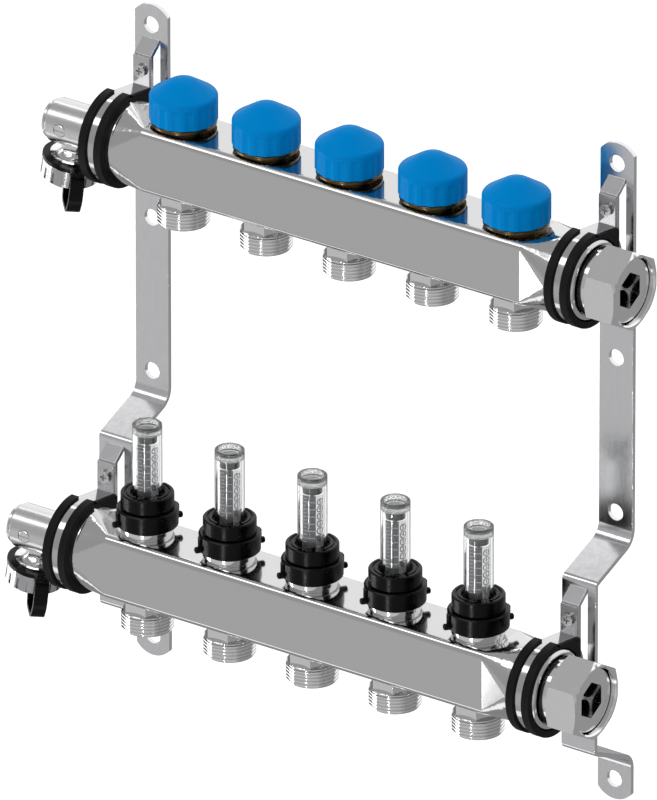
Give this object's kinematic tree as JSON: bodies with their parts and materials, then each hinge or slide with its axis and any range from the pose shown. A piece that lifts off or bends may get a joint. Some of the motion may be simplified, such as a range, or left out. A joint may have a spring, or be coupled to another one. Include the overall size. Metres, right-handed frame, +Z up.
{
  "type": "heating manifold",
  "caption": "Wall-mounted underfloor heating manifold: return bar with shut-off caps, supply bar with flow meters, brackets, clamps, drains and union nuts.",
  "frame": {"origin": "on the wall plane, midway between the four outer screw holes of the two brackets", "axes": "+X along the bars towards the union nuts, +Y into the wall, +Z up"},
  "size_m": [0.3544, 0.0871, 0.357],
  "materials": {
    "bar_steel": "satin",
    "bracket_steel": "polished",
    "lining_rubber": "matt",
    "strap_rubber": "satin",
    "screw_steel": "polished",
    "outlet_nickel": "polished",
    "insert_brass": "satin",
    "insert_nickel": "polished",
    "fitting_nickel": "satin",
    "blue_plastic": "satin",
    "pin_steel": "polished",
    "black_plastic": "gloss",
    "clear_plastic": "clear",
    "indicator_plastic": "satin"
  },
  "bodies": {
    "frame": {"return_bar": "bar_steel", "supply_bar": "bar_steel", "bracket_left": "bracket_steel", "bracket_right": "bracket_steel", "clamp_bands": "bracket_steel", "clamp_linings": "lining_rubber", "clamp_screws": "screw_steel", "return_outlets": "outlet_nickel", "supply_outlets": "outlet_nickel", "valve_inserts": "insert_brass", "flow_inserts": "insert_nickel", "end_piece_return": "fitting_nickel", "drain_spout_return": "fitting_nickel", "cap_strap_return": "strap_rubber", "union_tail_return": "fitting_nickel", "end_piece_supply": "fitting_nickel", "drain_spout_supply": "fitting_nickel", "cap_strap_supply": "strap_rubber", "union_tail_supply": "fitting_nickel", "sight_glass_1": "clear_plastic", "sight_glass_2": "clear_plastic", "sight_glass_3": "clear_plastic", "sight_glass_4": "clear_plastic", "sight_glass_5": "clear_plastic"},
    "pin_1": {"valve_pin_1": "pin_steel"},
    "cap_1": {"hand_cap_1": "blue_plastic"},
    "pin_2": {"valve_pin_2": "pin_steel"},
    "cap_2": {"hand_cap_2": "blue_plastic"},
    "pin_3": {"valve_pin_3": "pin_steel"},
    "cap_3": {"hand_cap_3": "blue_plastic"},
    "pin_4": {"valve_pin_4": "pin_steel"},
    "cap_4": {"hand_cap_4": "blue_plastic"},
    "pin_5": {"valve_pin_5": "pin_steel"},
    "cap_5": {"hand_cap_5": "blue_plastic"},
    "ring_1": {"lock_ring_1": "black_plastic"},
    "dial_1": {"flow_dial_1": "black_plastic"},
    "indicator_1": {"flow_indicator_1": "indicator_plastic"},
    "ring_2": {"lock_ring_2": "black_plastic"},
    "dial_2": {"flow_dial_2": "black_plastic"},
    "indicator_2": {"flow_indicator_2": "indicator_plastic"},
    "ring_3": {"lock_ring_3": "black_plastic"},
    "dial_3": {"flow_dial_3": "black_plastic"},
    "indicator_3": {"flow_indicator_3": "indicator_plastic"},
    "ring_4": {"lock_ring_4": "black_plastic"},
    "dial_4": {"flow_dial_4": "black_plastic"},
    "indicator_4": {"flow_indicator_4": "indicator_plastic"},
    "ring_5": {"lock_ring_5": "black_plastic"},
    "dial_5": {"flow_dial_5": "black_plastic"},
    "indicator_5": {"flow_indicator_5": "indicator_plastic"},
    "nut_return": {"union_nut_return": "fitting_nickel"},
    "drain_return": {"drain_cap_return": "fitting_nickel"},
    "vent_return": {"vent_screw_return": "screw_steel"},
    "nut_supply": {"union_nut_supply": "fitting_nickel"},
    "drain_supply": {"drain_cap_supply": "fitting_nickel"},
    "vent_supply": {"vent_screw_supply": "screw_steel"}
  },
  "joints": [
    {"name": "pin_lift_1", "type": "slide", "parent": "frame", "child": "pin_1", "axis": [0, 0, 1], "range_m": [0, 0.00301]},
    {"name": "cap_turn_1", "type": "hinge", "parent": "pin_1", "child": "cap_1", "pos_m": [-0.1, -0.031, 0.1473], "axis": [0, 0, 1], "range_deg": [0, 720]},
    {"name": "pin_lift_2", "type": "slide", "parent": "frame", "child": "pin_2", "axis": [0, 0, 1], "range_m": [0, 0.00301]},
    {"name": "cap_turn_2", "type": "hinge", "parent": "pin_2", "child": "cap_2", "pos_m": [-0.05, -0.031, 0.1473], "axis": [0, 0, 1], "range_deg": [0, 720]},
    {"name": "pin_lift_3", "type": "slide", "parent": "frame", "child": "pin_3", "axis": [0, 0, 1], "range_m": [0, 0.00301]},
    {"name": "cap_turn_3", "type": "hinge", "parent": "pin_3", "child": "cap_3", "pos_m": [0, -0.031, 0.1473], "axis": [0, 0, 1], "range_deg": [0, 720]},
    {"name": "pin_lift_4", "type": "slide", "parent": "frame", "child": "pin_4", "axis": [0, 0, 1], "range_m": [0, 0.00301]},
    {"name": "cap_turn_4", "type": "hinge", "parent": "pin_4", "child": "cap_4", "pos_m": [0.05, -0.031, 0.1473], "axis": [0, 0, 1], "range_deg": [0, 720]},
    {"name": "pin_lift_5", "type": "slide", "parent": "frame", "child": "pin_5", "axis": [0, 0, 1], "range_m": [0, 0.00301]},
    {"name": "cap_turn_5", "type": "hinge", "parent": "pin_5", "child": "cap_5", "pos_m": [0.1, -0.031, 0.1473], "axis": [0, 0, 1], "range_deg": [0, 720]},
    {"name": "ring_turn_1", "type": "hinge", "parent": "frame", "child": "ring_1", "pos_m": [-0.1, -0.0625, -0.0657], "axis": [0, 0, 1], "range_deg": [0, 45]},
    {"name": "dial_turn_1", "type": "hinge", "parent": "frame", "child": "dial_1", "pos_m": [-0.1, -0.0625, -0.0567], "axis": [0, 0, 1], "range_deg": [0, 900]},
    {"name": "indicator_drop_1", "type": "slide", "parent": "frame", "child": "indicator_1", "axis": [0, 0, -1], "range_m": [0, 0.024], "stiffness_N_per_m": 5, "springref_m": -0.01},
    {"name": "ring_turn_2", "type": "hinge", "parent": "frame", "child": "ring_2", "pos_m": [-0.05, -0.0625, -0.0657], "axis": [0, 0, 1], "range_deg": [0, 45]},
    {"name": "dial_turn_2", "type": "hinge", "parent": "frame", "child": "dial_2", "pos_m": [-0.05, -0.0625, -0.0567], "axis": [0, 0, 1], "range_deg": [0, 900]},
    {"name": "indicator_drop_2", "type": "slide", "parent": "frame", "child": "indicator_2", "axis": [0, 0, -1], "range_m": [0, 0.024], "stiffness_N_per_m": 5, "springref_m": -0.01},
    {"name": "ring_turn_3", "type": "hinge", "parent": "frame", "child": "ring_3", "pos_m": [0, -0.0625, -0.0657], "axis": [0, 0, 1], "range_deg": [0, 45]},
    {"name": "dial_turn_3", "type": "hinge", "parent": "frame", "child": "dial_3", "pos_m": [0, -0.0625, -0.0567], "axis": [0, 0, 1], "range_deg": [0, 900]},
    {"name": "indicator_drop_3", "type": "slide", "parent": "frame", "child": "indicator_3", "axis": [0, 0, -1], "range_m": [0, 0.024], "stiffness_N_per_m": 5, "springref_m": -0.01},
    {"name": "ring_turn_4", "type": "hinge", "parent": "frame", "child": "ring_4", "pos_m": [0.05, -0.0625, -0.0657], "axis": [0, 0, 1], "range_deg": [0, 45]},
    {"name": "dial_turn_4", "type": "hinge", "parent": "frame", "child": "dial_4", "pos_m": [0.05, -0.0625, -0.0567], "axis": [0, 0, 1], "range_deg": [0, 900]},
    {"name": "indicator_drop_4", "type": "slide", "parent": "frame", "child": "indicator_4", "axis": [0, 0, -1], "range_m": [0, 0.024], "stiffness_N_per_m": 5, "springref_m": -0.01},
    {"name": "ring_turn_5", "type": "hinge", "parent": "frame", "child": "ring_5", "pos_m": [0.1, -0.0625, -0.0657], "axis": [0, 0, 1], "range_deg": [0, 45]},
    {"name": "dial_turn_5", "type": "hinge", "parent": "frame", "child": "dial_5", "pos_m": [0.1, -0.0625, -0.0567], "axis": [0, 0, 1], "range_deg": [0, 900]},
    {"name": "indicator_drop_5", "type": "slide", "parent": "frame", "child": "indicator_5", "axis": [0, 0, -1], "range_m": [0, 0.024], "stiffness_N_per_m": 5, "springref_m": -0.01},
    {"name": "nut_spin_return", "type": "hinge", "parent": "frame", "child": "nut_return", "pos_m": [0.15975, -0.031, 0.1173], "axis": [1, 0, 0], "continuous": true},
    {"name": "drain_cap_turn_return", "type": "hinge", "parent": "frame", "child": "drain_return", "pos_m": [-0.1645, -0.031, 0.1173], "axis": [-0.1736, 0, -0.9848], "range_deg": [0, 720]},
    {"name": "vent_turn_return", "type": "hinge", "parent": "frame", "child": "vent_return", "pos_m": [-0.16755, -0.031, 0.1173], "axis": [0, -1, 0], "range_deg": [0, 540]},
    {"name": "nut_spin_supply", "type": "hinge", "parent": "frame", "child": "nut_supply", "pos_m": [0.15975, -0.0625, -0.0927], "axis": [1, 0, 0], "continuous": true},
    {"name": "drain_cap_turn_supply", "type": "hinge", "parent": "frame", "child": "drain_supply", "pos_m": [-0.1645, -0.0625, -0.0927], "axis": [-0.1736, 0, -0.9848], "range_deg": [0, 720]},
    {"name": "vent_turn_supply", "type": "hinge", "parent": "frame", "child": "vent_supply", "pos_m": [-0.16755, -0.0625, -0.0927], "axis": [0, -1, 0], "range_deg": [0, 540]}
  ],
  "couplings": [
    {"joint": "pin_lift_1", "follows": "cap_turn_1", "m_per_rad": 0.00023873},
    {"joint": "pin_lift_2", "follows": "cap_turn_2", "m_per_rad": 0.00023873},
    {"joint": "pin_lift_3", "follows": "cap_turn_3", "m_per_rad": 0.00023873},
    {"joint": "pin_lift_4", "follows": "cap_turn_4", "m_per_rad": 0.00023873},
    {"joint": "pin_lift_5", "follows": "cap_turn_5", "m_per_rad": 0.00023873}
  ]
}
